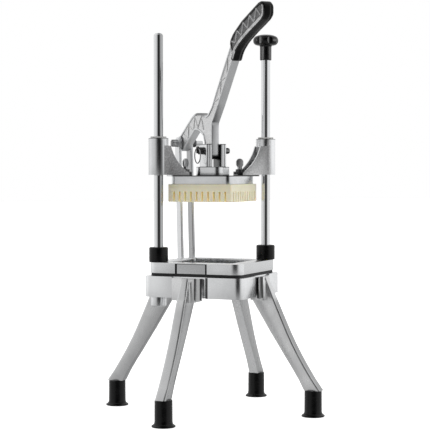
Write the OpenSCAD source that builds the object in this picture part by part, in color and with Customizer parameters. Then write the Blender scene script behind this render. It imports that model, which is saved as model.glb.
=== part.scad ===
// Table-top lever chopper for vegetables, handle up and pusher raised.
// Z is up, X runs along the line of the two guide rods, +Y is the back.
// The origin lies on the table, under the middle of the blade grid.

/* [Guide rods] */
// Distance between the two guide rods
rod_spacing = 180; // [178:0.5:182]
// Diameter of the guide rods
rod_d = 14.2; // [13.6:0.1:14.6]
// Height of the domed top of the left rod
rod_top_z = 586.5; // [582:0.5:588]
// Diameter of the threaded rod ends below the shoulder
rod_stud_d = 11; // [10:0.5:11.5]

/* [Blades and pusher] */
// Distance between neighbouring blades
blade_pitch = 9.525; // [9.4:0.025:9.6]
// Thickness of one blade
blade_t = 0.8; // [0.5:0.1:1]
// Blades in each row
blade_n = 10; // [10:1:10]
// Side of the square pusher block
block_side = 105.2; // [104:0.2:106]
// Width of the slots between the pusher's fingers
slot_w = 3; // [2.6:0.1:3.2]
// Depth of the slots in the pusher
slot_depth = 16; // [15:0.5:17]

/* [Castings] */
// Side of the square blade frame
frame_side = 153.2; // [152:0.2:154]
// Side of the square base ring
ring_side = 163.2; // [162:0.2:164]
// Side of the square head plate
plate_side = 101; // [100:0.2:102]
// Radius of the two guide bosses on the head
boss_r = 15.3; // [14.8:0.1:15.6]

/* [Lever and links] */
// Thickness of the cast lever
lever_t = 13; // [12:0.25:13]
// Thickness of the rubber grip
grip_t = 18.6; // [18:0.2:19.4]
// Diameter of the quick-release pivot pin
pin_d = 9.5; // [9:0.1:10]
// Width of the two flat link bars
link_w = 19; // [18:0.5:19.5]
// Diameter of the two link bolts
link_bolt_d = 8; // [7:0.25:8]

/* [Legs and feet] */
// Distance of a foot from the centre, square to the side face
foot_r = 162.8; // [161:0.2:164]
// Sideways offset of each leg towards the nearer rod
leg_off = 9.3; // [8:0.1:10]
// Diameter of a rubber foot
foot_d = 27; // [26.4:0.2:27.6]
// Diameter of the flared foot base
foot_flare_d = 36; // [35:0.5:37]

/* [Hidden] */
$fn = 64;

cast_c = [0.74, 0.75, 0.76];
steel_c = [0.80, 0.81, 0.83];
rubber_c = [0.06, 0.06, 0.065];
ivory_c = [0.88, 0.84, 0.72];
blade_c = [0.86, 0.87, 0.89];

rx = rod_spacing / 2;
rod_r = rod_d / 2;
stud_r = rod_stud_d / 2;
// heights of the base
ring_z0 = 182.5;
ring_z1 = 214.4;
frame_z0 = 218.9;
frame_z1 = 235.1;
bumper_z1 = 258.2;
// heights of the head at rest
block_z0 = 327.6;
plate_z0 = 354.8;
plate_z1 = 368;
boss_z0 = 369.3;
boss_z1 = 425.5;
clev_z1 = 381.5;
post_z1 = 417;
// pivots: P lever on the head, Q link on the lever, R link on the base
P = [0, 406.5];
Q = [127, 420.5];
R = [114, 198];
link_t = 4.3;
link_in = 7.85;
window = 107.8;
thumb_x = 45.5;
screw_y = 20.6;
ring_hole_z = P[1] + 4.6;
s2 = sqrt(2);

// flat shape drawn in the Y-Z plane, spread evenly over the thickness in X
module side_plate(th) { rotate([90, 0, 90]) linear_extrude(height = th, center = true) children(); }
// cylinder along X from x0 to x1 through a point of the Y-Z plane
module xcyl(r, x0, x1, c, n = 64) { translate([x0, c[0], c[1]]) rotate([0, 90, 0]) cylinder(r = r, h = x1 - x0, $fn = n); }
// square with round corners, turned so that its corners lie on X and Y
module diamond(side, r) {
  h = side / 2;
  rotate(45) union() {
    square([side, side - 2 * r], center = true);
    square([side - 2 * r, side], center = true);
    for (a = [-1, 1], b = [-1, 1]) translate([a * (h - r), b * (h - r)]) circle(r = r);
  }
}
module diamond_block(side, r, z0, z1) { translate([0, 0, z0]) linear_extrude(height = z1 - z0) diamond(side, r); }
// box in the turned square's own axes
module turned_box(a0, a1, b0, b1, z0, z1) { rotate([0, 0, 45]) translate([a0, b0, z0]) cube([a1 - a0, b1 - b0, z1 - z0]); }
function blade_at(i) = (i - (blade_n - 1) / 2) * blade_pitch;

// the four legs: turn about Z, sideways offset, and the way to the free corner
leg_fl = [-135, -1];
leg_fr = [-45, 1];
leg_rl = [135, 1];
leg_rr = [45, -1];
legs = [leg_fl, leg_fr, leg_rl, leg_rr];

// ---------- base ----------
module recess_cut(l) {
  m = -l[1];
  h = ring_side / 2;
  rotate([0, 0, l[0]]) translate([h - 4, m > 0 ? -33 : -23.6, ring_z0 - 1]) cube([10, 56.6, ring_z1 - ring_z0 + 2]);
}
module leg_bolt_at(l, s) { m = -l[1]; rotate([0, 0, l[0]]) translate([0, m * s, 197]) rotate([0, 90, 0]) children(); }

module base_ring() {
  color(cast_c) difference() {
    union() {
      difference() {
        diamond_block(ring_side, 12, ring_z0, ring_z1);
        diamond_block(ring_side - 22, 6, ring_z0 - 1, ring_z1 - 6.4);
      }
      intersection() {
        diamond_block(ring_side - 4, 12, ring_z0, ring_z1);
        union() {
          for (s = [-1, 1]) translate([s * rx, 0, ring_z0]) cylinder(r = 15, h = ring_z1 - ring_z0);
          translate([-14, 84, ring_z0]) cube([28, 30, ring_z1 - ring_z0]);
        }
      }
    }
    diamond_block(window, 4, ring_z0 - 1, ring_z1 + 1);
    translate([-40, 98, ring_z0 - 1]) cube([80, 40, 40]);
    for (l = legs) recess_cut(l);
    for (l = legs, s = [-21, 9]) leg_bolt_at(l, s) cylinder(r = 3, h = 90);
    translate([-rx, 0, ring_z0 - 1]) cylinder(r = stud_r, h = 40);
    translate([rx, 0, ring_z0 + 3.5]) cylinder(r = stud_r + 0.3, h = 40);
  }
  // lug that the two link bars swing on
  color(cast_c) difference() {
    union() {
      translate([-6.5, 97, R[1] - 10]) cube([13, R[0] - 97, 20]);
      xcyl(10, -6.5, 6.5, R);
      translate([-6.5, 90, R[1] - 10]) cube([13, 8, 20]);
    }
    xcyl(link_bolt_d / 2, -10, 10, R);
  }
}

module frame_gasket() {
  color(rubber_c) difference() {
    diamond_block(149, 10, ring_z1, frame_z0);
    diamond_block(112, 5, ring_z1 - 1, frame_z0 + 1);
    translate([-40, 95, ring_z1 - 1]) cube([80, 40, 10]);
    for (s = [-1, 1]) translate([s * rx, 0, ring_z1 - 1]) cylinder(r = stud_r + 0.4, h = 10);
  }
}

module blade_frame() {
  h = frame_side / 2;
  color(cast_c) difference() {
    diamond_block(frame_side, 15, frame_z0, frame_z1);
    diamond_block(window, 4, frame_z0 - 1, frame_z1 + 1);
    translate([-40, 92, frame_z0 - 1]) cube([80, 40, 30]);
    translate([-rx, 0, frame_z0 - 1]) cylinder(r = stud_r, h = 40);
    translate([rx, 0, frame_z0 - 1]) cylinder(r = stud_r + 0.3, h = 40);
    // shallow bare pad on the front left side
    rotate([0, 0, -135]) {
      translate([h - 1, -30, frame_z0 - 1]) cube([4, 51.5, 15.4]);
      translate([h - 3.4, -30, frame_z0 - 1]) cube([6, 2.6, 15.4]);
      translate([h - 3.4, 19.6, frame_z0 - 1]) cube([6, 1.9, 15.4]);
    }
    // slots that hold the blade ends, open at the bottom
    for (i = [0 : blade_n - 1], s = [-1, 1]) {
      a = s > 0 ? window / 2 - 1 : -window / 2 - 4.2;
      turned_box(a, a + 5.2, blade_at(i) - blade_t / 2 - 0.1, blade_at(i) + blade_t / 2 + 0.1, frame_z0 - 1, 231);
      turned_box(blade_at(i) - blade_t / 2 - 0.1, blade_at(i) + blade_t / 2 + 0.1, a, a + 5.2, frame_z0 - 1, 224.6);
    }
  }
}

module lower_blades() {
  color(blade_c) for (i = [0 : blade_n - 1])
    turned_box(blade_at(i) - blade_t / 2, blade_at(i) + blade_t / 2, -window / 2 - 4, window / 2 + 4, frame_z0, 224.4);
}
module upper_blades() {
  e = window / 2;
  color(blade_c) for (i = [0 : blade_n - 1])
    rotate([0, 0, 45]) translate([0, blade_at(i) + blade_t / 2, 0]) rotate([90, 0, 0]) linear_extrude(height = blade_t)
      polygon([[-e - 4, frame_z0], [-e - 0.3, frame_z0], [-e - 0.3, 225], [e + 0.3, 225], [e + 0.3, frame_z0], [e + 4, frame_z0], [e + 4, 230.8], [-e - 4, 230.8]]);
}

// ---------- legs and feet ----------
// outer and inner edge of a leg at rising heights: [height, outer, inner, half width outside, half width inside]
leg_rows = [[40, 177.3, 150.2, 9, 8.2], [57, 165, 141, 9, 8], [75, 153.6, 129.6, 8.9, 7.8], [92, 143.4, 118.2, 8.9, 7.7], [110, 133.6, 106.6, 8.8, 7.6],
  [127, 125.2, 95.4, 8.7, 7.5], [145, 117, 84.2, 8.6, 7.4], [162, 109.3, 73.6, 8.4, 7.2], [176, 103.2, 65, 8.1, 7], [181.9, 100.6, 62.6, 8, 7]];
top_rows = [[181, 101, 80, 8, 7], [190, 97, 80, 7.7, 7], [200, 92.6, 80, 7.3, 7], [208, 89.2, 80, 6.9, 6.9], [212.5, 87.4, 80, 6.6, 6.6]];
// one level of a leg: a block with well rounded outer edges and slightly rounded inner ones
function corner(x, y, r, a0, n) = [for (i = [0 : n]) [x + r * cos(a0 + 90 * i / n), y + r * sin(a0 + 90 * i / n)]];
function leg_ring(o, i, w, v) = concat(
  corner(o - 4, w - 4, 4, 0, 6), corner(i + 1.5, v - 1.5, 1.5, 90, 2),
  corner(i + 1.5, -v + 1.5, 1.5, 180, 2), corner(o - 4, -w + 4, 4, 270, 6));
module loft(rows, t) {
  n = len(leg_ring(100, 50, 9, 8));
  m = len(rows);
  pts = [for (r = rows) for (q = leg_ring(r[1], r[2], r[3], r[4])) [q[0], q[1] + t, r[0]]];
  polyhedron(points = pts, faces = concat(
    [[for (i = [0 : n - 1]) i]], [[for (i = [0 : n - 1]) (m - 1) * n + n - 1 - i]],
    [for (k = [0 : m - 2], i = [0 : n - 1]) [k * n + i, (k + 1) * n + i, (k + 1) * n + (i + 1) % n]],
    [for (k = [0 : m - 2], i = [0 : n - 1]) [k * n + i, (k + 1) * n + (i + 1) % n, k * n + (i + 1) % n]]));
}
module leg(l) {
  t = l[1] * leg_off;
  m = -l[1];
  h = ring_side / 2;
  color(cast_c) difference() {
    union() {
      rotate([0, 0, l[0]]) {
        loft(leg_rows, t);
        loft(top_rows, t);
        // mounting plate in the recess, with the raised boss that the leg springs from
        translate([h - 4, m > 0 ? -32.8 : -15.5, 178.5]) cube([5, 48.3, 34]);
        translate([h - 4, m > 0 ? -17 : -7.1, 176.5]) cube([8.6, 24.1, 36]);
        translate([66, m > 0 ? -17 : -7.1, 176.5]) cube([18, 24.1, 5.6]);
        // blend between the leg and the boss
        intersection() {
          translate([0, t, 0]) rotate([90, 0, 0]) linear_extrude(height = 60, center = true)
            polygon([[84, 176], [101.4, 176], [84.6, 212.4], [84, 212.4]]);
          difference() {
            translate([h + 4, m > 0 ? -1.8 : -3.2, 176]) cube([5, 5, 37]);
            translate([h + 9.2, m > 0 ? 3.4 : -3.4, 170]) cylinder(r = 4.6, h = 60);
          }
        }
        translate([foot_r, t, 20]) cylinder(r = 5, h = 22);
      }
    }
    for (s = [-21, 9]) leg_bolt_at(l, s) cylinder(r = 3, h = h - 1);
  }
}
module leg_front_left() leg(leg_fl);
module leg_front_right() leg(leg_fr);
module leg_rear_left() leg(leg_rl);
module leg_rear_right() leg(leg_rr);

module leg_bolts() {
  r0 = ring_side / 2 - 11;
  color(steel_c) for (l = legs, s = [-21, 9]) leg_bolt_at(l, s) union() {
    translate([0, 0, r0 - 4]) cylinder(r = 5.4, h = 4, $fn = 6);
    translate([0, 0, r0 - 1]) cylinder(r = 3, h = 11);
  }
}

module foot(l) {
  r1 = foot_d / 2;
  r2 = foot_flare_d / 2;
  color(rubber_c) rotate([0, 0, l[0]]) translate([foot_r, l[1] * leg_off, 0]) rotate_extrude()
    polygon([[0, 0], [r2 - 0.6, 0], [r2, 0.8], [r2 - 0.4, 2], [r1 + 1.6, 3.6], [r1 + 0.4, 5.5], [r1, 8], [r1 - 0.2, 39], [r1 - 1.2, 40], [5, 40], [5, 20], [0, 20]]);
}
module foot_front_left() foot(leg_fl);
module foot_front_right() foot(leg_fr);
module foot_rear_left() foot(leg_rl);
module foot_rear_right() foot(leg_rr);

// ---------- rods ----------
module guide_rod() {
  color(steel_c) translate([-rx, 0, 0]) rotate_extrude()
    polygon([[0, 170], [stud_r, 170], [stud_r, frame_z1], [rod_r, frame_z1], [rod_r, rod_top_z - 4],
      [rod_r - 0.9, rod_top_z - 1.9], [rod_r - 2.6, rod_top_z - 0.6], [rod_r - 5, rod_top_z], [0, rod_top_z]]);
}
module rod_nut() {
  color(steel_c) translate([-rx, 0, 0]) rotate_extrude()
    polygon([[0, 166.8], [10.4, 166.8], [12, 168.4], [12, 181.6], [11.2, ring_z0], [stud_r, ring_z0], [stud_r, 170], [0, 170]]);
}
module bumper(s, clear) {
  color(rubber_c) translate([s * rx, 0, 0]) rotate_extrude()
    polygon([[rod_r + clear, frame_z1], [14, frame_z1], [14.7, frame_z1 + 0.8], [14.7, bumper_z1 - 1.4], [13.4, bumper_z1], [rod_r + clear, bumper_z1]]);
}
module bumper_left() bumper(-1, 0);
module bumper_right() bumper(1, 0.3);

module release_rod() {
  color(steel_c) translate([rx, 0, 0]) rotate_extrude()
    polygon([[0, ring_z0 + 4.5], [stud_r, ring_z0 + 4.5], [stud_r, frame_z1 + 0.3], [rod_r, frame_z1 + 0.3], [rod_r, 584], [0, 584]]);
}
module rod_knob() {
  color(rubber_c) translate([rx, 0, 0]) difference() {
    union() {
      intersection() {
        translate([0, 0, 570]) linear_extrude(height = 20) difference() {
          circle(r = 19.8);
          for (i = [0 : 6]) rotate(i * 360 / 7 + 10) translate([24.2, 0]) circle(r = 6.6);
        }
        rotate_extrude() polygon([[0, 573], [13, 573], [16.2, 574], [18.4, 575.9], [19.5, 578.4], [19.8, 580.6], [19.4, 583.2], [18.2, 585.6], [16, 587.4], [12.5, 588.8], [8, 589.8], [0, 590.2]]);
      }
      rotate_extrude() polygon([[0, 549.7], [8.4, 549.7], [9.1, 550.6], [9.1, 571], [10.5, 573.2], [13, 574.6], [0, 576]]);
    }
    translate([0, 0, 540]) cylinder(r = rod_r, h = 44);
  }
}

// ---------- link hinge on the base ----------
module hinge_bolt() {
  color(steel_c) {
    xcyl(link_bolt_d / 2, -13, 23, R);
    xcyl(6.8, -18.4, -12.4, R, 6);
  }
}
module hinge_nut() {
  color(steel_c) difference() {
    xcyl(6.8, 12.4, 19, R, 6);
    xcyl(link_bolt_d / 2, 12, 20, R);
  }
}
module hinge_washers() {
  color(steel_c) for (s = [0, 1]) mirror([s, 0, 0]) difference() {
    xcyl(8, 6.5, 7.6, R);
    xcyl(link_bolt_d / 2, 6, 8, R);
  }
}

// ---------- head ----------
module web_cut(s, r, y0, y1) { translate([s * 7, y1, 431]) rotate([90, 0, 0]) cylinder(r = r, h = y1 - y0, $fn = 96); }
module head_casting() {
  color(cast_c) difference() {
    union() {
      diamond_block(plate_side, 9, plate_z0, plate_z1);
      for (s = [-1, 1]) {
        translate([s * rx, 0, boss_z0]) cylinder(r = boss_r, h = boss_z1 - boss_z0);
        difference() {
          union() {
            translate([s > 0 ? 45 : -rx, -14.8, boss_z0]) cube([rx - 45, 24.8, 44.8]);
            translate([s > 0 ? 45 : -73, -14.8, plate_z1 - 1.2]) cube([28, 24.8, 4.2]);
          }
          web_cut(s, 70, -16, 11);
          web_cut(s, 79, -11.4, 7);
          translate([s * thumb_x, 0, plate_z1]) cylinder(r = 11, h = 60);
        }
      }
    }
    for (s = [-1, 1]) translate([s * rx, 0, 340]) cylinder(r = 9.6, h = 100);
    for (s = [-1, 1]) translate([s * thumb_x, 0, 340]) cylinder(r = 3.3, h = 60);
    for (s = [-1, 1]) translate([0, s * screw_y, 357]) cylinder(r = 2.5, h = 60);
  }
}
module bushing(s) {
  color([0.42, 0.40, 0.36]) translate([s * rx, 0, 0]) rotate_extrude()
    polygon([[rod_r + 0.08, boss_z0], [9.6, boss_z0], [9.6, boss_z1], [12.2, boss_z1], [12.2, boss_z1 + 2.1], [11.6, boss_z1 + 2.6], [rod_r + 0.08, boss_z1 + 2.6]]);
}
module bushing_left() bushing(-1);
module bushing_right() bushing(1);

module clevis() {
  color(cast_c) difference() {
    union() {
      diamond_block(44.2, 10.6, plate_z1, clev_z1);
      for (s = [-1, 1]) translate([s * 11.35, 0, clev_z1 - 1]) linear_extrude(height = post_z1 - clev_z1 + 1) union() {
        translate([s * -1.5, 0]) square([5.5, 31.2], center = true);
        translate([s * 0.6, 0]) square([9.7, 25.2], center = true);
        for (b = [-1, 1]) translate([s * 2.45, b * 12.6]) circle(r = 3);
      }
    }
    xcyl(pin_d / 2 + 0.06, -20, 20, P);
    for (s = [-1, 1]) translate([0, s * screw_y, 360]) cylinder(r = 2.5, h = 60);
    for (s = [-1, 1]) translate([0, s * screw_y, clev_z1 - 3.4]) cylinder(r = 4.3, h = 10);
  }
}
module clevis_screws() {
  color(steel_c) for (s = [-1, 1]) translate([0, s * screw_y, 0]) difference() {
    union() {
      translate([0, 0, 358]) cylinder(r = 2.5, h = 21);
      translate([0, 0, clev_z1 - 3.4]) cylinder(r = 4.3, h = 3.6);
    }
    translate([0, 0, clev_z1 - 1.4]) cylinder(r = 2.1, h = 4, $fn = 6);
  }
}
module pusher_block() {
  h = block_side / 2;
  color(ivory_c) difference() {
    diamond_block(block_side, 1.6, block_z0, plate_z0);
    for (i = [0 : blade_n - 1]) {
      turned_box(blade_at(i) - slot_w / 2, blade_at(i) + slot_w / 2, -h - 1, h + 1, block_z0 - 1, block_z0 + slot_depth);
      turned_box(-h - 1, h + 1, blade_at(i) - slot_w / 2, blade_at(i) + slot_w / 2, block_z0 - 1, block_z0 + slot_depth);
    }
    for (s = [-1, 1]) translate([s * thumb_x, 0, block_z0 + slot_depth + 3]) cylinder(r = 3.3, h = 40);
  }
}
module thumb_washers() {
  color(steel_c) for (s = [-1, 1]) translate([s * thumb_x, 0, plate_z1]) difference() {
    cylinder(r = 10.2, h = 1.4);
    translate([0, 0, -1]) cylinder(r = 3.3, h = 4);
  }
}
module thumb_screw(s, a) {
  z = plate_z1 + 1.6;
  color(steel_c) translate([s * thumb_x, 0, 0]) rotate([0, 0, a]) union() {
    translate([0, 0, block_z0 + slot_depth + 5]) cylinder(r = 3, h = z - block_z0 - slot_depth - 4);
    translate([0, 0, z]) cylinder(r = 10, h = 4.6);
    translate([0, 0, z + 4]) cylinder(r = 6.4, h = 4.2);
    translate([0, 0, z + 8]) cylinder(r = 3.6, h = 4);
    translate([0, 0, z + 18]) rotate([90, 0, 0]) linear_extrude(height = 2.8, center = true) union() {
      translate([0, 1.4]) circle(r = 5.6);
      translate([0, -1.6]) circle(r = 5.6);
      square([11.2, 3], center = true);
      translate([0, -6.6]) square([6.6, 6], center = true);
    }
  }
}
module thumb_screw_left() thumb_screw(-1, 28);
module thumb_screw_right() thumb_screw(1, -8);

// ---------- quick-release pin ----------
module pivot_pin() {
  color(steel_c) {
    xcyl(pin_d / 2, -20, 25.6, P);
    xcyl(pin_d / 2 - 0.8, 25, 27.2, P);
  }
}
module pin_knob() {
  color(rubber_c) difference() {
    union() {
      xcyl(5.6, -24, -17.1, P);
      translate([-27.4, -1.5, P[1] - 4]) cube([4, 3, 11]);
    }
    xcyl(pin_d / 2, -20, -15, P);
    translate([-25.6, 5, ring_hole_z]) rotate([90, 0, 0]) cylinder(r = 1.2, h = 10);
  }
}
module pin_ring() {
  color(steel_c) translate([-25.6, 0, ring_hole_z - 12]) rotate([0, 90, 0]) rotate_extrude() translate([12, 0]) circle(r = 0.8, $fn = 24);
}

// ---------- lever and grip ----------
lever_pts = [[-10.6, 400], [-10.6, 448.5], [-37.3, 476.6], [-92, 539.6], [-97, 546.5], [-107, 557.5], [-122, 566.5], [-142, 574.6], [-196, 594],
  [-200, 597.5], [-201, 602], [-198, 606], [-192, 606.8], [-160, 598.5], [-132, 588.5], [-112, 579], [-98.5, 570.8], [-84.3, 562.6],
  [-60.3, 535], [-27.1, 496.9], [-10, 476.3], [-1, 468.6], [8, 463.4], [16.3, 461.6], [27.2, 464.8], [35.6, 466.4], [45, 467.2],
  [54.7, 467], [65.6, 465.6], [75, 461.9], [129, 430.3], [128, 408], [119, 406.9],
  [62.8, 440], [51.3, 439.2], [40.9, 436.3], [31, 432.8], [26.2, 429.6], [22.4, 424.5], [20, 417.6], [18.6, 404], [15, 397.6], [9, 394], [2, 393.2], [-5, 394.4]];
module lever() {
  color(cast_c) difference() {
    union() {
      side_plate(lever_t) polygon(lever_pts);
      xcyl(13, -lever_t / 2, lever_t / 2, Q);
    }
    xcyl(pin_d / 2 + 0.08, -10, 10, P);
    // the open pivot: a slot along the lever's arm, which clears the link bolt over the whole stroke
    union() {
      xcyl(6.4, -10, 10, [Q[0] + 0.3, Q[1] + 0.7]);
      xcyl(6.4, -10, 10, [Q[0] - 15.8, Q[1] + 0.7]);
      translate([-10, Q[0] - 15.8, Q[1] + 0.7 - 6.4]) cube([20, 16.1, 12.8]);
    }
  }
}
grip_pts = [[-88.5, 543.6], [-91.5, 542.2], [-96, 543], [-100, 546.8], [-108, 554.6], [-120, 562.2], [-134, 568.4], [-150, 574.4], [-172, 582.2], [-194, 590],
  [-203, 593.6], [-209.5, 598.6], [-212, 604.6], [-210.4, 611.4], [-205.4, 616.4], [-198.5, 618.2], [-190, 617],
  [-164.1, 609.2], [-148, 603.4], [-132, 596.6], [-114.2, 587.4], [-100.4, 580], [-90.3, 571.6], [-83, 564.4]];
module grip() {
  color(rubber_c) difference() {
    side_plate(grip_t) polygon(grip_pts);
    side_plate(lever_t) polygon(lever_pts);
  }
}

// ---------- links ----------
module link_bar(s) {
  color(steel_c) difference() {
    translate([s * (link_in + link_t / 2), 0, 0]) side_plate(link_t) hull() {
      translate(R) circle(d = link_w, $fn = 48);
      translate(Q) circle(d = link_w, $fn = 48);
    }
    xcyl(link_bolt_d / 2 + 0.08, -20, 20, R);
    xcyl(link_bolt_d / 2, -20, 20, Q);
  }
}
module link_bar_left() link_bar(-1);
module link_bar_right() link_bar(1);
module link_bolt() {
  color(steel_c) {
    xcyl(link_bolt_d / 2, -13, 32, Q);
    xcyl(5.9, -link_in - link_t - 9.4, -link_in - link_t, Q, 6);
  }
}
module link_nut() {
  color(steel_c) difference() {
    xcyl(6.6, link_in + link_t, link_in + link_t + 8, Q, 6);
    xcyl(link_bolt_d / 2, 10, 24, Q);
  }
}
module link_washers() {
  color(steel_c) for (s = [0, 1]) mirror([s, 0, 0]) difference() {
    xcyl(11, link_in - 1, link_in, Q);
    xcyl(link_bolt_d / 2, 5, 10, Q);
  }
}

base_ring();
frame_gasket();
blade_frame();
lower_blades();
upper_blades();
leg_front_left();
leg_front_right();
leg_rear_left();
leg_rear_right();
leg_bolts();
foot_front_left();
foot_front_right();
foot_rear_left();
foot_rear_right();
guide_rod();
rod_nut();
bumper_left();
bumper_right();
hinge_bolt();
hinge_nut();
hinge_washers();
release_rod();
rod_knob();
head_casting();
bushing_left();
bushing_right();
clevis();
clevis_screws();
pusher_block();
thumb_washers();
thumb_screw_left();
thumb_screw_right();
pivot_pin();
pin_knob();
pin_ring();
lever();
grip();
link_bar_left();
link_bar_right();
link_bolt();
link_nut();
link_washers();
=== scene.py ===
import math

import bpy
import bmesh
from mathutils import Matrix, Vector


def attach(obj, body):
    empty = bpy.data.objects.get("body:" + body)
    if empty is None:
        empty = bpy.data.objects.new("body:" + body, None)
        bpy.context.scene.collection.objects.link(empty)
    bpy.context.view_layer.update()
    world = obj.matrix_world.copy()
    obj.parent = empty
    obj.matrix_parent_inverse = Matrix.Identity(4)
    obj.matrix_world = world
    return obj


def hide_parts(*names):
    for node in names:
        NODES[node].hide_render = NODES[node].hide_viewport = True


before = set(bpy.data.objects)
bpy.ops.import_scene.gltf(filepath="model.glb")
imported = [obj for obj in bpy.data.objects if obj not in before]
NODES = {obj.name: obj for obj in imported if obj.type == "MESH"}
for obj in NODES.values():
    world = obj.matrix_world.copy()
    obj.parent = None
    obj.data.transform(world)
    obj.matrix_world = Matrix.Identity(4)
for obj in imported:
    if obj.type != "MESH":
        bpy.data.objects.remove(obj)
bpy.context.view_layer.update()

scene = bpy.context.scene
scene.view_settings.view_transform = "Standard"
scene.view_settings.look = "None"
MM = 0.001

# ------------------------------------------------------------------ camera
AZ, EL, DIST = math.radians(-22.0), math.radians(1.8), 2.267
BACK = Vector((math.sin(AZ) * math.cos(EL), -math.cos(AZ) * math.cos(EL), math.sin(EL)))
RIGHT = Vector((math.cos(AZ), math.sin(AZ), 0.0))
TARGET = RIGHT * 0.00336 + Vector((0, 0, 0.3064))
cam_data = bpy.data.cameras.new("photo_camera")
cam_data.lens = 121.52
cam_data.sensor_width = 36.0
cam = bpy.data.objects.new("photo_camera", cam_data)
scene.collection.objects.link(cam)
cam.location = TARGET + BACK * DIST
cam.rotation_mode = "QUATERNION"
cam.rotation_quaternion = (-BACK).to_track_quat("-Z", "Y")
cam_data.clip_start, cam_data.clip_end = 0.05, 60.0
scene.camera = cam


# ------------------------------------------------------------------ node helpers
class Tree:
    """A material being built, with short calls for the nodes that are used again and again."""

    def __init__(self, name):
        self.m = bpy.data.materials.new(name)
        self.m.use_nodes = True
        self.t = self.m.node_tree
        self.t.nodes.clear()
        self.out = self.t.nodes.new("ShaderNodeOutputMaterial")
        self.b = self.t.nodes.new("ShaderNodeBsdfPrincipled")
        self.t.links.new(self.b.outputs["BSDF"], self.out.inputs["Surface"])
        self.tc = self.t.nodes.new("ShaderNodeTexCoord")

    def link(self, a, b):
        self.t.links.new(a, b)

    def mapped(self, scale, rot=(0, 0, 0), loc=(0, 0, 0)):
        n = self.t.nodes.new("ShaderNodeMapping")
        n.inputs["Scale"].default_value = scale
        n.inputs["Rotation"].default_value = rot
        n.inputs["Location"].default_value = loc
        self.link(self.tc.outputs["Object"], n.inputs["Vector"])
        return n.outputs["Vector"]

    def noise(self, vec, scale=1.0, detail=3.0, rough=0.5, distortion=0.0):
        n = self.t.nodes.new("ShaderNodeTexNoise")
        n.inputs["Scale"].default_value = scale
        n.inputs["Detail"].default_value = detail
        n.inputs["Roughness"].default_value = rough
        n.inputs["Distortion"].default_value = distortion
        self.link(vec, n.inputs["Vector"])
        return n.outputs["Fac"]

    def voronoi(self, vec, scale=1.0, feature="F1"):
        n = self.t.nodes.new("ShaderNodeTexVoronoi")
        n.feature = feature
        n.inputs["Scale"].default_value = scale
        self.link(vec, n.inputs["Vector"])
        return n.outputs["Distance"]

    def remap(self, fac, lo, hi, a=0.0, b=1.0):
        n = self.t.nodes.new("ShaderNodeMapRange")
        n.inputs["From Min"].default_value = lo
        n.inputs["From Max"].default_value = hi
        n.inputs["To Min"].default_value = a
        n.inputs["To Max"].default_value = b
        self.link(fac, n.inputs["Value"])
        return n.outputs["Result"]

    def math(self, op, a, b):
        n = self.t.nodes.new("ShaderNodeMath")
        n.operation = op
        for sock, v in ((n.inputs[0], a), (n.inputs[1], b)):
            if isinstance(v, (int, float)):
                sock.default_value = v
            else:
                self.link(v, sock)
        return n.outputs[0]

    def ramp(self, fac, stops):
        n = self.t.nodes.new("ShaderNodeValToRGB")
        e = n.color_ramp.elements
        while len(e) < len(stops):
            e.new(0.5)
        for k, (p, c) in enumerate(stops):
            e[k].position = p
            e[k].color = (*c, 1.0)
        self.link(fac, n.inputs["Fac"])
        return n.outputs["Color"]

    def mix(self, fac, a, b):
        n = self.t.nodes.new("ShaderNodeMix")
        n.data_type = "RGBA"
        if isinstance(fac, (int, float)):
            n.inputs["Factor"].default_value = fac
        else:
            self.link(fac, n.inputs["Factor"])
        for sock, v in ((n.inputs["A"], a), (n.inputs["B"], b)):
            if isinstance(v, tuple):
                sock.default_value = (*v, 1.0)
            else:
                self.link(v, sock)
        return n.outputs["Result"]

    def bump(self, height, strength, distance, under=None):
        n = self.t.nodes.new("ShaderNodeBump")
        n.inputs["Strength"].default_value = strength
        n.inputs["Distance"].default_value = distance
        self.link(height, n.inputs["Height"])
        if under is not None:
            self.link(under, n.inputs["Normal"])
        return n.outputs["Normal"]

    def split(self, vec):
        n = self.t.nodes.new("ShaderNodeSeparateXYZ")
        self.link(vec, n.inputs["Vector"])
        return n.outputs

    def step(self, v, lo, hi):
        """0 below lo and 1 above hi, with a soft edge. Falls instead where lo is above hi."""
        n = self.t.nodes.new("ShaderNodeMapRange")
        n.interpolation_type = "SMOOTHSTEP"
        n.inputs["From Min"].default_value = min(lo, hi)
        n.inputs["From Max"].default_value = max(lo, hi)
        n.inputs["To Min"].default_value = 0.0 if lo < hi else 1.0
        n.inputs["To Max"].default_value = 1.0 if lo < hi else 0.0
        self.link(v, n.inputs["Value"])
        return n.outputs["Result"]

    def inside(self, box, turn=0.0, soft=0.3):
        """1 inside a box in millimetres, (x0, x1, y0, y1, z0, z1) with None for an open side, about Z turned by -turn."""
        xyz = self.split(self.mapped((1, 1, 1), (0, 0, math.radians(turn))))
        total = None
        for k in range(3):
            for v, rising in ((box[2 * k], True), (box[2 * k + 1], False)):
                if v is None:
                    continue
                lo, hi = (v - soft) * MM, (v + soft) * MM
                f = self.step(xyz[k], lo, hi) if rising else self.step(xyz[k], hi, lo)
                total = f if total is None else self.math("MULTIPLY", total, f)
        return total

    def facing(self, axis, lo=0.90, hi=0.98, sign=1.0):
        """1 on faces whose own normal points along an axis of the part."""
        n = self.split(self.tc.outputs["Normal"])[axis]
        return self.step(self.math("MULTIPLY", n, sign), lo, hi)


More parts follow.
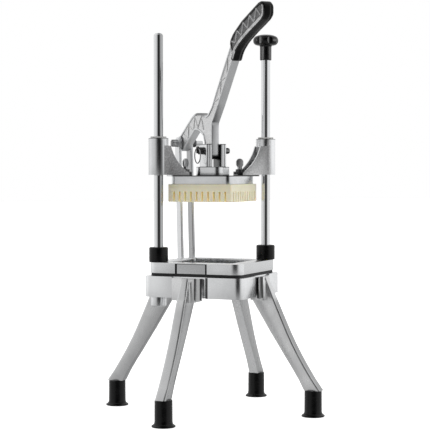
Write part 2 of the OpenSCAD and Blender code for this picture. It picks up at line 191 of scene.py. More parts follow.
def brushed(name, tint=(0.80, 0.81, 0.82), rough=0.30, along="xy", line=1.0, mottle=0.05, grain=0.0, shade=(), matte=()):
    """Cast aluminium or steel with fine brushing lines, faint mottling and a little grain. shade holds
    (keep, box, turn, soft) for darker boxes, mostly painted shade along seam lines and in recesses: inside the box the
    colour drops to keep, or rises to paint light where keep is above 1.
    matte holds (metallic, box, turn, soft) for faces made less metallic, which render duller and paler."""
    m = Tree(name)
    scales = {"xy": (60, 60, 2600), "z": (1900, 1900, 30), "yz": (2600, 55, 55)}[along]
    lines = m.noise(m.mapped(scales), 1.0, 4.0, 0.6)
    cloud = m.noise(m.mapped((38, 38, 38)), 1.0, 4.0, 0.6, 0.4)
    fine = m.noise(m.mapped((1500, 1500, 1500)), 1.0, 2.0, 0.5)
    dark = tuple(c * (1 - mottle * 1.6) for c in tint)
    light = tuple(min(1.0, c * (1 + mottle)) for c in tint)
    col = m.mix(m.remap(cloud, 0.3, 0.7), dark, light)
    col = m.mix(m.remap(lines, 0.35, 0.7, 0.0, 0.22), col, tuple(c * 0.82 for c in tint))
    for keep, box, turn, soft in shade:
        col = m.mix(m.inside(box, turn, soft), col, tuple(c * keep for c in tint))
    m.link(col, m.b.inputs["Base Color"])
    m.b.inputs["Metallic"].default_value = 1.0
    for metal, box, turn, soft in matte:
        m.link(m.remap(m.inside(box, turn, soft), 0.0, 1.0, 1.0, metal), m.b.inputs["Metallic"])
    r = m.math("ADD", m.remap(cloud, 0.25, 0.75, rough - 0.05, rough + 0.06), m.remap(lines, 0.3, 0.7, -0.03, 0.04))
    m.link(r, m.b.inputs["Roughness"])
    n = m.bump(lines, 0.10 * line, 0.00006)
    if grain:
        n = m.bump(fine, grain, 0.00016, n)
    m.link(n, m.b.inputs["Normal"])
    return m.m


def sand_cast(name, tint=(0.70, 0.71, 0.72), rough=0.46, grain=0.5):
    """Grained sand casting, rough and softly speckled."""
    m = Tree(name)
    cell = m.voronoi(m.mapped((470, 470, 470)), 1.0)
    fine = m.noise(m.mapped((760, 760, 760)), 1.0, 3.0, 0.6)
    cloud = m.noise(m.mapped((30, 30, 30)), 1.0, 5.0, 0.65, 0.3)
    both = m.math("ADD", m.math("MULTIPLY", cell, 0.6), m.math("MULTIPLY", fine, 0.7))
    col = m.mix(m.remap(both, 0.35, 0.95), tuple(c * 0.62 for c in tint), tuple(min(1, c * 1.18) for c in tint))
    col = m.mix(m.remap(cloud, 0.35, 0.7, 0.0, 0.28), col, tuple(c * 0.80 for c in tint))
    m.link(col, m.b.inputs["Base Color"])
    m.b.inputs["Metallic"].default_value = 1.0
    m.link(m.remap(fine, 0.2, 0.8, rough - 0.08, rough + 0.1), m.b.inputs["Roughness"])
    m.link(m.bump(both, grain, 0.00035), m.b.inputs["Normal"])
    return m.m


def polished(name, tint=(0.86, 0.87, 0.88), rough=0.07, along="z", shade=()):
    """Ground and polished stainless bar, with very faint lines."""
    m = Tree(name)
    scales = {"z": (2400, 2400, 12), "round": (300, 300, 2600)}[along]
    lines = m.noise(m.mapped(scales), 1.0, 3.0, 0.5)
    smear = m.noise(m.mapped((45, 45, 12)), 1.0, 4.0, 0.6)
    col = m.mix(m.remap(smear, 0.3, 0.75), tint, tuple(c * 0.93 for c in tint))
    for keep, box, turn, soft in shade:
        col = m.mix(m.inside(box, turn, soft), col, tuple(c * keep for c in tint))
    m.link(col, m.b.inputs["Base Color"])
    m.b.inputs["Metallic"].default_value = 1.0
    m.link(m.math("ADD", m.remap(smear, 0.3, 0.7, rough, rough + 0.05), m.remap(lines, 0.3, 0.7, 0.0, 0.03)), m.b.inputs["Roughness"])
    m.link(m.bump(lines, 0.03, 0.00004), m.b.inputs["Normal"])
    return m.m


def black(name, tint=(0.012, 0.012, 0.013), rough=0.42, grain=0.25, scale=900, spec=0.5, coat=0.0, painted_glints=(), streaks=()):
    """Moulded black rubber or plastic: fine grain and faint scuffs. The list of flank directions holds (x, y, grey) for
    painted highlights on flanks whose normal points along (x, y), streaks holds (grey, box, soft) for painted highlight
    streaks."""
    m = Tree(name)
    fine = m.noise(m.mapped((scale, scale, scale)), 1.0, 3.0, 0.6)
    scuff = m.noise(m.mapped((60, 60, 150)), 1.0, 5.0, 0.65, 0.6)
    col = m.mix(m.remap(scuff, 0.45, 0.8), tint, tuple(c * 2.2 + 0.001 for c in tint))
    # painted highlights: faces whose normal points along each listed direction are painted a paler grey
    if painted_glints:
        n = m.split(m.tc.outputs["Normal"])
        for x, y, grey in painted_glints:
            side = m.math("ADD", m.math("MULTIPLY", n[0], x), m.math("MULTIPLY", n[1], y))
            col = m.mix(m.step(side, 0.945, 0.995), col, (grey, grey, grey))
    # painted highlight streaks
    for grey, box, soft in streaks:
        col = m.mix(m.inside(box, 0, soft), col, (grey, grey, grey))
    m.link(col, m.b.inputs["Base Color"])
    m.b.inputs["Specular IOR Level"].default_value = spec
    m.b.inputs["Coat Weight"].default_value = coat
    m.b.inputs["Coat Roughness"].default_value = 0.16
    m.link(m.remap(scuff, 0.3, 0.8, rough - 0.05, rough + 0.10), m.b.inputs["Roughness"])
    m.link(m.bump(fine, grain, 0.00012), m.b.inputs["Normal"])
    return m.m


def ivory(name):
    """Translucent ivory plastic, with painted warm light far inside the slots standing in for light carried through the
    plastic.
    """
    m = Tree(name)
    turned = m.mapped((1, 1, 1), (0, 0, math.radians(-45)))
    sep = m.t.nodes.new("ShaderNodeSeparateXYZ")
    m.link(turned, sep.inputs["Vector"])
    u = m.math("ABSOLUTE", sep.outputs["X"], 0.0)
    v = m.math("ABSOLUTE", sep.outputs["Y"], 0.0)
    outer = m.math("MAXIMUM", u, v)
    low = m.remap(sep.outputs["Z"], 0.3425, 0.3450, 1.0, 0.0)
    painted_slot_light = m.math("MULTIPLY", m.remap(outer, 0.0525, 0.0515, 0.0, 1.0), low)
    # painted light: the warm slot colour is weakened on the front right side, so those slots show lighter
    painted_pale_side = m.step(sep.outputs["Y"], -0.0470, -0.0500)
    painted_slot_light = m.math("MULTIPLY", painted_slot_light, m.math("SUBTRACT", 1.0, m.math("MULTIPLY", painted_pale_side, 0.72)))
    painted_slot_light = m.math("MULTIPLY", painted_slot_light, m.remap(sep.outputs["Z"], 0.32790, 0.32980, 0.0, 1.0))
    cloud = m.noise(m.mapped((55, 55, 55)), 1.0, 3.0, 0.5)
    skin = m.mix(m.remap(cloud, 0.3, 0.7), (0.615, 0.58, 0.43), (0.655, 0.62, 0.475))
    col = m.mix(painted_slot_light, skin, (0.97, 0.85, 0.52))
    m.link(col, m.b.inputs["Base Color"])
    m.b.inputs["Roughness"].default_value = 0.42
    m.b.inputs["Subsurface Weight"].default_value = 0.35
    m.b.inputs["Subsurface Radius"].default_value = (1.0, 0.62, 0.25)
    m.b.inputs["Subsurface Scale"].default_value = 0.006
    fine = m.noise(m.mapped((500, 500, 500)), 1.0, 3.0, 0.5)
    m.link(m.bump(fine, 0.12, 0.0001), m.b.inputs["Normal"])
    return m.m


def leg_look(name, turn, m, tint=(0.86, 0.865, 0.87), cast=(0.46, 0.465, 0.47), plain=(0.76, 0.765, 0.77), metal=1.0):
    """Leg casting whose colour carries painted light: a lighter outer face, a painted shaded side below the plate
    (faces turned towards +X -Y), upward faces in their own painted tone and painted shadow lines beside its mounting
    plate, mirrored where m is -1."""
    def band(y0, y1):
        return (y0, y1) if m > 0 else (-y1, -y0)
    painted_seam_shade = []
    # painted shadow lines beside the mounting plate
    for keep, x0, x1, y0, y1 in ((0.10, 84.2, 88, 5.9, 7.8), (0.10, 80, 84, 13.6, 16.2)):
        y0, y1 = band(y0, y1)
        painted_seam_shade.append((keep, (x0, x1, y0, y1, 180, 215), turn, 0.25))
    t = Tree(name)
    lines = t.noise(t.mapped((1500, 1500, 34)), 1.0, 4.0, 0.6)
    cloud = t.noise(t.mapped((34, 34, 34)), 1.0, 5.0, 0.65, 0.5)
    fine = t.noise(t.mapped((1200, 1200, 1200)), 1.0, 3.0, 0.6)
    n = t.split(t.tc.outputs["Normal"])
    # painted shade: faces turned towards +X -Y below the plate take the darker shaded-side tint
    side = t.step(t.math("MULTIPLY", t.math("SUBTRACT", n[0], n[1]), 0.7071), 0.55, 0.92)
    side = t.math("MULTIPLY", side, t.step(t.split(t.mapped((1, 1, 1)))[2], 0.186, 0.170))
    # painted light and shade: upward faces take the plain tone
    up = t.step(n[2], 0.20, 0.42)
    base = t.mix(up, tint, plain)
    col = t.mix(side, base, cast)
    col = t.mix(t.remap(cloud, 0.35, 0.72, 0.0, 0.16), col, (0.30, 0.30, 0.30))
    col = t.mix(t.remap(fine, 0.5, 0.85, 0.0, 0.18), col, (0.30, 0.30, 0.30))
    for keep, box, deg, soft in painted_seam_shade:
        col = t.mix(t.inside(box, deg, soft), col, tuple(c * keep for c in tint))
    t.link(col, t.b.inputs["Base Color"])
    t.b.inputs["Metallic"].default_value = metal
    t.link(t.math("ADD", t.remap(cloud, 0.25, 0.75, 0.24, 0.33), t.remap(lines, 0.3, 0.7, -0.03, 0.04)), t.b.inputs["Roughness"])
    t.link(t.bump(fine, 0.22, 0.00018, t.bump(lines, 0.08, 0.00006)), t.b.inputs["Normal"])
    return t.m


def head_cast():
    """Satin casting whose flat web faces are left rougher; its colour carries painted light: the left web painted
    darker than the right one, painted shade in the web troughs, along the bottom, the top edge, the left boss front and
    the left walls facing the middle, and a painted lighter right boss front.
    """
    m = Tree("head_satin_aluminium")
    tint = (0.80, 0.81, 0.82)
    lines = m.noise(m.mapped((60, 60, 2600)), 1.0, 4.0, 0.6)
    cloud = m.noise(m.mapped((38, 38, 38)), 1.0, 4.0, 0.6, 0.4)
    fine = m.noise(m.mapped((680, 680, 680)), 1.0, 3.0, 0.6)
    cell = m.voronoi(m.mapped((450, 450, 450)), 1.0)
    col = m.mix(m.remap(cloud, 0.3, 0.7), tuple(c * 0.91 for c in tint), tuple(c * 1.04 for c in tint))
    col = m.mix(m.remap(lines, 0.35, 0.7, 0.0, 0.22), col, tuple(c * 0.82 for c in tint))
    grain = m.math("ADD", m.math("MULTIPLY", cell, 0.5), m.math("MULTIPLY", fine, 0.8))
    speck = m.remap(grain, 0.35, 0.95)
    # painted light and shade: the left web front is painted dark and the right web front light, both speckled
    front = m.facing(1, 0.93, 0.985, -1.0)
    left = m.math("MULTIPLY", front, m.inside((-86, -44, None, None, 366, None), 0, 0.6))
    right = m.math("MULTIPLY", front, m.inside((44, 95, None, None, 366, None), 0, 0.6))
    col = m.mix(left, col, m.mix(speck, (0.22, 0.22, 0.225), (0.55, 0.55, 0.555)))
    col = m.mix(right, col, m.mix(speck, (0.60, 0.605, 0.61), (0.97, 0.975, 0.98)))
    # painted shade over the web troughs, along the bottom joint and the top edge, and on the left boss front; painted
    # light on the right boss front where keep is above 1
    for keep, box, soft in ((0.30, (52, 78, -11.2, 6.8, 369, 413), 0.5), (0.30, (-78, -52, -11.2, 6.8, 369, 413), 0.5),
                            (0.14, (-72, 72, None, None, 366.7, 368.8), 0.4), (0.28, (None, None, None, None, 424.6, 427), 0.35),
                            (0.42, (-95.0, -88.0, None, -8, 368, 424), 1.8), (1.16, (92.0, 110, None, 4, 368, 424), 1.5)):
        col = m.mix(m.inside(box, 0, soft), col, tuple(c * keep for c in tint))
    # painted shade on the walls of the left side that face the middle
    painted_inner_shade = m.math("MULTIPLY", m.step(m.split(m.tc.outputs["Normal"])[0], 0.2, 0.5), m.inside((-77, -22, None, None, 369.5, 425), 0, 0.5))
    col = m.mix(m.math("MULTIPLY", painted_inner_shade, 0.9), col, (0.06, 0.06, 0.06))
    m.link(col, m.b.inputs["Base Color"])
    m.b.inputs["Metallic"].default_value = 1.0
    web = m.math("MAXIMUM", left, right)
    r = m.math("ADD", m.remap(cloud, 0.25, 0.75, 0.17, 0.26), m.math("MULTIPLY", web, 0.20))
    m.link(r, m.b.inputs["Roughness"])
    n = m.bump(lines, 0.10, 0.00006)
    n = m.bump(m.math("MULTIPLY", grain, m.math("ADD", 0.12, m.math("MULTIPLY", web, 0.9))), 0.45, 0.0003, n)
    m.link(n, m.b.inputs["Normal"])
    return m.m


def knurled(name):
    """Black knurled knob: crossed lines with lighter tops rubbed by wear."""
    m = Tree(name)
    xyz = m.split(m.mapped((1, 1, 1)))
    angle = m.math("ARCTAN2", xyz[1], m.math("SUBTRACT", xyz[2], 0.4065))
    wave = []
    for sign in (1.0, -1.0):
        phase = m.math("ADD", m.math("MULTIPLY", angle, 14.0), m.math("MULTIPLY", xyz[0], sign * 4200.0))
        wave.append(m.math("ABSOLUTE", m.math("SINE", phase, 0.0), 0.0))
    high = m.math("MINIMUM", *wave)
    m.link(m.mix(m.remap(high, 0.45, 0.95), (0.006, 0.006, 0.006), (0.10, 0.10, 0.10)), m.b.inputs["Base Color"])
    m.b.inputs["Roughness"].default_value = 0.34
    m.link(m.bump(high, 0.6, 0.0004), m.b.inputs["Normal"])
    return m.m


CAST = head_cast()
# painted shade between the posts and along the joints at the top and bottom of the base, a darker band from 415.6 to
# 418.5 mm, and a painted lighter front right face of the base, which is also made less metallic
CLEVIS = brushed("clevis_satin_aluminium", (0.82, 0.83, 0.84), 0.22, "xy", 1.0, 0.06, 0.10, [
    (0.10, (-8.0, 8.0, None, None, 381.8, 440), 0, 0.25), (0.22, (None, None, None, None, 380.7, 382.0), 0, 0.3),
    (0.22, (None, None, None, None, None, 369.0), 0, 0.3), (0.30, (None, None, None, None, 415.6, 418.5), 0, 0.3), (1.18, (21.2, None, -13.5, 13.5, 369.4, 380.4), 45, 0.4)],
    [(0.08, (21.2, None, -13.5, 13.5, 369.4, 380.4), 45, 0.4)])
# painted shade along a recess edge beside the front left leg and on the recess floor beside the front right leg;
# painted light towards the left end where keep is above 1
RING = brushed("ring_brushed_aluminium", (0.87, 0.88, 0.89), 0.24, "xy", 1.3, 0.05, 0.05, [
    (0.08, (76, 83.0, 20.5, 26.2, 170, 214), 135, 0.3), (0.10, (70, 82.2, -24.8, -15.2, 180, 214), 45, 0.3), (1.12, (None, -56, None, -4, None, None), 0, 10)])
# painted shade in the grooves on either side of the label pad and along its top edge, the pad floor darker, and painted
# shade over the front right face
FRAME = brushed("frame_brushed_aluminium", (0.84, 0.85, 0.86), 0.24, "xy", 1.3, 0.05, 0.05, [
    (0.06, (72, 77, -30.2, -27.2, None, 234.2), 135, 0.15), (0.06, (72, 77, 19.4, 22.5, None, 234.2), 135, 0.15),
    (0.80, (75, 76, -27.2, 19.4, None, 234.2), 135, 0.15), (0.25, (75, 77, -28, 20, 233, 234.3), 135, 0.15), (0.79, (62, None, -60, 90, None, None), 45, 2)])
# four copies of one leg finish in tones of their own: painted light and shade that differs from leg to leg
LEG_FL = leg_look("leg_front_left_aluminium", 135, 1, cast=(0.43, 0.435, 0.44), plain=(0.70, 0.705, 0.71))
LEG_FR = leg_look("leg_front_right_aluminium", 45, -1, cast=(0.35, 0.353, 0.356))
LEG_RL = leg_look("leg_rear_left_aluminium", -135, -1, (0.72, 0.725, 0.73), plain=(0.63, 0.635, 0.64))
LEG_RR = leg_look("leg_rear_right_aluminium", -45, 1, (0.57, 0.575, 0.58), (0.33, 0.333, 0.336), (0.59, 0.595, 0.60), 0.55)
SAND = sand_cast("lever_sand_cast", (0.90, 0.905, 0.91), 0.44, 0.6)
WEB = sand_cast("web_sand_cast", (0.42, 0.43, 0.44), 0.42, 0.35)
# painted shade under the lever nose and a painted dark reflection on top of the hump
LEVER_EDGE = brushed("lever_machined_edge", (0.78, 0.79, 0.80), 0.32, "z", 0.9, 0.08, 0.15,
                     [(0.08, (None, None, -14, 3, None, 399.6), 0, 2.2), (0.22, (None, None, 19, 60, 460.0, None), 0, 6.0)])
BLADE = brushed("blade_ground_steel", (0.78, 0.79, 0.80), 0.22, "xy", 0.8, 0.03, 0.0)
ROD = polished("rod_ground_stainless", (0.82, 0.83, 0.84), 0.07, "z")
# painted dark reflection in two bands down the right half of the left rod
ROD_LEFT = polished("rod_left_ground_stainless", (0.82, 0.83, 0.84), 0.07, "z", [(0.50, (-88.4, -78, None, None, None, None), 0, 0.8), (0.40, (-91.8, -88.6, None, None, None, None), 0, 0.6)])
BRIGHT = polished("bright_stainless", (0.78, 0.79, 0.80), 0.18)
THUMB = brushed("thumb_screw_zinc", (0.58, 0.585, 0.59), 0.34, "xy", 0.8, 0.14, 0.30, [(0.22, (None, None, None, None, 366, 377.9), 0, 0.5)])
WASHER = brushed("thumb_washer_dark", (0.09, 0.09, 0.092), 0.34, "xy", 0.8, 0.14, 0.2)
# painted shade on the rear part of the ring wire, beyond y -7.5 mm
WIRE = polished("ring_wire_dark", (0.42, 0.42, 0.43), 0.2, "z", [(0.10, (None, None, -7.5, None, None, None), 0, 1.5)])
# painted shade on the pin's right end, darkest above and below a middle band left lighter as a painted highlight
PIN = polished("pin_stainless", (0.70, 0.71, 0.72), 0.2, "z", [(0.45, (20, 30, None, None, None, None), 0, 0.4), (0.04, (21, 30, None, None, 408.6, None), 0, 0.4), (0.04, (21, 30, None, None, None, 404.4), 0, 0.4)])
LINK = brushed("link_stainless_strip", (0.84, 0.85, 0.86), 0.30, "z", 0.25, 0.03, 0.0)
ZINC = brushed("zinc_fastener", (0.60, 0.61, 0.62), 0.28, "xy", 0.6, 0.10, 0.15)
# painted shade on the top and bottom of the bolt head, and a darker band at x -22 to -20.6 mm
HEX = brushed("link_bolt_zinc", (0.72, 0.73, 0.74), 0.24, "xy", 0.6, 0.12, 0.30, [
    (0.10, (None, None, None, None, 424.3, None), 0, 0.5), (0.14, (None, None, None, None, None, 416.6), 0, 0.5), (0.25, (-22, -20.6, None, None, None, None), 0, 0.3)])
# painted shade on the top and bottom of the nut
NUT = brushed("link_nut_dark", (0.17, 0.172, 0.175), 0.26, "xy", 0.6, 0.14, 0.30, [
    (0.20, (None, None, None, None, 423.8, None), 0, 0.6), (0.25, (None, None, None, None, None, 417.4), 0, 0.6)])
# painted reflection of the left bar: the right bar's face towards it, below x 8.6 mm, is darker
LINK_RIGHT = brushed("link_right_stainless_strip", (0.84, 0.85, 0.86), 0.30, "z", 0.25, 0.03, 0.0, [(0.52, (None, 8.6, -400, 400, 100, 408), 0, 0.3)])
RUBBER = black("black_rubber", (0.0012, 0.0012, 0.0013), 0.26, 0.16, spec=0.26)
GASKET = black("gasket_sheet", (0.008, 0.008, 0.009), 0.60, 0.30)
# painted highlights: stem flanks turned along the two listed directions are painted a paler grey
KNOB = black("knob_moulded_black", (0.0012, 0.0012, 0.0013), 0.15, 0.08, 1400, spec=0.28, coat=0.1, painted_glints=((-0.839, -0.544, 0.16), (0.39, -0.92, 0.10)))
KNURL = knurled("pin_knob_knurled")
BUSH = black("bushing_grey", (0.40, 0.40, 0.39), 0.45, 0.20, 1200)
IVORY = ivory("ivory_plastic")
# painted highlight streaks on the front face and along the left flank
GRIP_RUBBER = black("grip_black_rubber", (0.0012, 0.0012, 0.0013), 0.24, 0.14, spec=0.13,
                    streaks=((0.040, (2.6, 4.2, None, None, None, 612), 1.2), (0.034, (-9.0, -6.6, None, None, None, 606), 1.6)))
# the side panel's grey is a painted reflection, and the paler rib crests are painted highlights
GRIP_PANEL = black("grip_side_panel", (0.052, 0.052, 0.053), 0.36, 0.45, 1100, spec=0.35)
GRIP_RIB = black("grip_raised_ribs", (0.21, 0.21, 0.212), 0.36, 0.35, 1100, spec=0.35)
# painted highlight along the rounded ridge of the grip and its end lip
GRIP_BAND = black("grip_ridge_painted_highlight", (0.29, 0.29, 0.292), 0.34, 0.35, 1100, spec=0.4)

LOOK = {
    "base_ring": RING, "frame_gasket": GASKET, "blade_frame": FRAME, "lower_blades": BLADE, "upper_blades": BLADE,
    "leg_front_left": LEG_FL, "leg_front_right": LEG_FR, "leg_rear_left": LEG_RL, "leg_rear_right": LEG_RR, "leg_bolts": ZINC,
    "foot_front_left": RUBBER, "foot_front_right": RUBBER, "foot_rear_left": RUBBER, "foot_rear_right": RUBBER,
    "guide_rod": ROD_LEFT, "rod_nut": BRIGHT, "bumper_left": RUBBER, "bumper_right": RUBBER,
    "hinge_bolt": ZINC, "hinge_nut": ZINC, "hinge_washers": ZINC,
    "release_rod": ROD, "rod_knob": KNOB,
    "head_casting": CAST, "bushing_left": BUSH, "bushing_right": BUSH, "clevis": CLEVIS, "clevis_screws": BRIGHT, "pusher_block": IVORY,
    "thumb_washers": WASHER, "thumb_screw_left": THUMB, "thumb_screw_right": THUMB,
    "pivot_pin": PIN, "pin_knob": KNURL, "pin_ring": WIRE,
    "lever": SAND, "grip": GRIP_RUBBER,
    "link_bar_left": LINK, "link_bar_right": LINK_RIGHT, "link_bolt": HEX, "link_nut": NUT, "link_washers": ZINC,
}
BEVEL = {
    "base_ring": 0.8, "blade_frame": 0.45, "leg_front_left": 0.3, "leg_front_right": 0.3, "leg_rear_left": 0.3, "leg_rear_right": 0.3,
    "head_casting": 0.9, "clevis": 0.8, "pusher_block": 0.25, "rod_knob": 0.8, "rod_nut": 0.3, "lever": 1.0, "grip": 3.0,
    "link_bar_left": 0.4, "link_bar_right": 0.4, "thumb_screw_left": 0.4, "thumb_screw_right": 0.4, "hinge_bolt": 0.3, "hinge_nut": 0.3,
    "link_bolt": 0.3, "link_nut": 0.3, "pin_knob": 0.4, "clevis_screws": 0.25, "bumper_left": 0.5, "bumper_right": 0.5,
}


def smooth_group():
    """Geometry nodes that shade a mesh smooth and keep edges over 32 degrees sharp."""
    g = bpy.data.node_groups.new("shade_by_angle", "GeometryNodeTree")
    g.interface.new_socket("Geometry", in_out="INPUT", socket_type="NodeSocketGeometry")
    g.interface.new_socket("Geometry", in_out="OUTPUT", socket_type="NodeSocketGeometry")
    a, z = g.nodes.new("NodeGroupInput"), g.nodes.new("NodeGroupOutput")
    face = g.nodes.new("GeometryNodeSetShadeSmooth")
    face.domain = "FACE"
    edge = g.nodes.new("GeometryNodeSetShadeSmooth")
    edge.domain = "EDGE"
    ang = g.nodes.new("GeometryNodeInputMeshEdgeAngle")
    cmp_ = g.nodes.new("FunctionNodeCompare")
    cmp_.operation = "LESS_THAN"
    cmp_.inputs[1].default_value = math.radians(32)
    g.links.new(ang.outputs["Unsigned Angle"], cmp_.inputs[0])
    g.links.new(a.outputs[0], face.inputs["Geometry"])
    g.links.new(face.outputs[0], edge.inputs["Geometry"])
    g.links.new(cmp_.outputs[0], edge.inputs["Shade Smooth"])
    g.links.new(edge.outputs[0], z.inputs[0])
    return g


SMOOTH = smooth_group()


def finish_mesh(o, bevel=0.0, segments=3, weld=True, dissolve=True):
    if weld:
        w = o.modifiers.new("weld", "WELD")
        w.merge_threshold = 2e-6
    if dissolve:
        d = o.modifiers.new("planar", "DECIMATE")
        d.decimate_type = "DISSOLVE"
        d.angle_limit = math.radians(0.4)
    if bevel:
        b = o.modifiers.new("edge_radius", "BEVEL")
        b.width = bevel * MM
        b.segments = segments
        b.limit_method = "ANGLE"
        b.angle_limit = math.radians(38)
        b.use_clamp_overlap = True
    s = o.modifiers.new("shading", "NODES")
    s.node_group = SMOOTH


def dress(name, material, bevel):
    o = NODES[name]
    o.data.materials.clear()
    o.data.materials.append(material)
    finish_mesh(o, bevel)


for name, material in LOOK.items():
    dress(name, material, BEVEL.get(name, 0.0))


def new_object(name, bm, material=None):
    me = bpy.data.meshes.new(name)
    bm.to_mesh(me)
    bm.free()
    o = bpy.data.objects.new(name, me)
    scene.collection.objects.link(o)
    if material:
        me.materials.append(material)
    return o

# ------------------------------------------------------------------ shaped pieces
def offset_poly(pts, d):
    """Moves each side of a counter-clockwise polygon inwards by d."""
    n = len(pts)
    out = []
    for i in range(n):
        a, b, c = Vector(pts[i - 1]), Vector(pts[i]), Vector(pts[(i + 1) % n])
        e1, e2 = (b - a).normalized(), (c - b).normalized()
        n1, n2 = Vector((-e1.y, e1.x)), Vector((-e2.y, e2.x))
        k = 1.0 + n1.dot(n2)
        out.append(tuple(b + (n1 + n2) * (d / max(k, 0.25))))
    return out


def fillet_poly(pts, caps, d=0.0, seg=4):
    """Rounds every corner of a polygon. caps holds each corner's largest radius, before an inward offset d."""
    n = len(pts)
    out = []
    for i in range(n):
        a, b, c = Vector(pts[i - 1]), Vector(pts[i]), Vector(pts[(i + 1) % n])
        u, v = (a - b), (c - b)
        lu, lv = u.length, v.length
        u, v = u / lu, v / lv
        cosang = max(-1.0, min(1.0, u.dot(v)))
        half = math.acos(cosang) / 2
        turn = (b - a).x * (c - b).y - (b - a).y * (c - b).x
        cap = caps[i] - d if turn > 0 else caps[i] + d
        t = min(0.46 * min(lu, lv), max(cap, 0.15) / max(math.tan(half), 1e-6))
        p0, p2 = b + u * t, b + v * t
        for k in range(seg + 1):
            s = k / seg
            q = p0 * (1 - s) ** 2 + b * (2 * s * (1 - s)) + p2 * s * s
            out.append((q.x, q.y))
    return out


def loft_x(name, sharp, caps, rings, material, body, panel=None, seg=4, accent=None):
    """A plate in the Y-Z plane: rings is a list of (inset, x), from one face to the other, all in millimetres. panel is the material of the first and last faces."""
    bm = bmesh.new()
    loops = []
    for inset, x in rings:
        pts = fillet_poly(offset_poly(sharp, inset) if inset else sharp, caps, inset, seg)
        loops.append([bm.verts.new((x * MM, y * MM, z * MM)) for y, z in pts])
    n = len(loops[0])
    for k, (a, b) in enumerate(zip(loops, loops[1:])):
        for i in range(n):
            j = (i + 1) % n
            f = bm.faces.new((a[i], a[j], b[j], b[i]))
            if accent and accent[1](min(k, len(rings) - 2 - k), a[i].co.y / MM, a[i].co.z / MM):
                f.material_index = 2
    ends = [bm.faces.new(list(reversed(loops[0]))), bm.faces.new(loops[-1])]
    for f in ends:
        f.material_index = 1 if panel else 0
    bmesh.ops.recalc_face_normals(bm, faces=bm.faces)
    bmesh.ops.triangulate(bm, faces=ends)
    o = new_object(name, bm, material)
    if panel:
        o.data.materials.append(panel)
    if accent:
        o.data.materials.append(accent[0])
    return o


def rib_box(bm, a, b, width, x0, x1):
    """A thin rib from a to b in the Y-Z plane, between x0 and x1, with a slightly narrower crest at x1."""
    a, b = Vector(a), Vector(b)
    d = (b - a).normalized()
    n = Vector((-d.y, d.x))
    vs = []
    for x, w in ((x0, width), (x1, width * 0.55)):
        for p, s in ((a, 1), (b, 1), (b, -1), (a, -1)):
            q = p + n * (s * w / 2)
            vs.append(bm.verts.new((x * MM, q.x * MM, q.y * MM)))
    faces = [(0, 1, 2, 3), (7, 6, 5, 4), (0, 4, 5, 1), (1, 5, 6, 2), (2, 6, 7, 3), (3, 7, 4, 0)]
    made = [bm.faces.new([vs[i] for i in f]) for f in faces]
    bmesh.ops.recalc_face_normals(bm, faces=made)


def at_length(line, s):
    """The point and direction at length s along a polyline."""
    for a, b in zip(line, line[1:]):
        a, b = Vector(a), Vector(b)
        l = (b - a).length
        if s <= l:
            return a + (b - a) * (s / l), (b - a) / l
        s -= l
    return b, (b - a) / l


def zigzag(name, line, half, step, width, x_in, x_out, material, start=0.0, both=True):
    """Zigzag ribs on both sides of a plate, swinging half a width to each side of a centre line."""
    total = sum((Vector(b) - Vector(a)).length for a, b in zip(line, line[1:]))
    pts, k, s = [], 0, start
    while s <= total:
        p, d = at_length(line, s)
        n = Vector((-d.y, d.x))
        h = half(s / total) if callable(half) else half
        pts.append(p + n * (h if k % 2 else -h))
        s += step
        k += 1
    bm = bmesh.new()
    for side in ((-1, 1) if both else (-1,)):
        for a, b in zip(pts, pts[1:]):
            rib_box(bm, a, b, width, side * x_in, side * x_out)
    return new_object(name, bm, material)


# the lever, counter-clockwise seen from +X (y to the right, z up)
LEVER = [
    (-10.6, 393.4, 9), (19.2, 393.4, 11), (20.6, 418.0, 20), (26.2, 430.6, 12), (40.9, 436.6, 30), (52.0, 439.4, 6), (62.8, 439.8, 6),
    (118.0, 407.8, 6), (127.0, 407.5, 6), (135.0, 410.2, 6), (139.6, 416.5, 6), (139.9, 424.0, 6), (136.0, 430.0, 6), (128.0, 433.3, 6),
    (76.0, 462.0, 20), (65.6, 465.9, 20), (54.7, 467.3, 20), (35.6, 466.6, 20), (26.0, 463.6, 20), (16.3, 461.2, 14), (4.0, 464.9, 14), (-10.2, 476.0, 20),
    (-27.1, 496.9, 30), (-60.3, 535.2, 30), (-84.3, 562.6, 6), (-112.0, 579.2, 4), (-196.0, 603.5, 4), (-196.0, 595.5, 4), (-122.0, 567.2, 6), (-106.0, 557.0, 6),
    (-92.2, 539.8, 20), (-37.3, 476.5, 10), (-10.6, 448.5, 10),
]
lever_sharp = [(y, z) for y, z, _ in LEVER]
lever_caps = [r for _, _, r in LEVER]
T = 6.5
lever_obj = loft_x(
    "lever_body", lever_sharp, lever_caps,
    [(3.9, -T + 1.25), (3.5, -T + 0.15), (3.2, -T), (1.9, -T), (1.1, -T + 0.17), (0.5, -T + 0.55), (0.14, -T + 1.15), (0, -T + 1.9),
     (0, T - 1.9), (0.14, T - 1.15), (0.5, T - 0.55), (1.1, T - 0.17), (1.9, T), (3.2, T), (3.5, T - 0.15), (3.9, T - 1.25)],
    LEVER_EDGE, "lever", SAND)
arm_line = [(-22.0, 474.0), (-90.5, 552.0)]
tail_line = [(22.0, 449.0), (34.0, 451.8), (53.0, 453.4), (66.0, 451.2), (112.0, 425.8)]
arm_ribs = zigzag("lever_arm_ribs", arm_line, 6.9, 20.5, 1.9, T - 1.6, T - 0.2, SAND, 4.0)
tail_ribs = zigzag("lever_tail_ribs", tail_line, lambda t: 9.6 if t < 0.75 else 8.2, 13.0, 1.9, T - 1.6, T - 0.2, SAND, 2.0)
finish_mesh(lever_obj, 0, weld=False, dissolve=False)
for o in (arm_ribs, tail_ribs):
    finish_mesh(o, 0.25, 2, weld=False, dissolve=False)
for o in (lever_obj, arm_ribs, tail_ribs):
    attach(o, "lever")
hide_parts("lever")

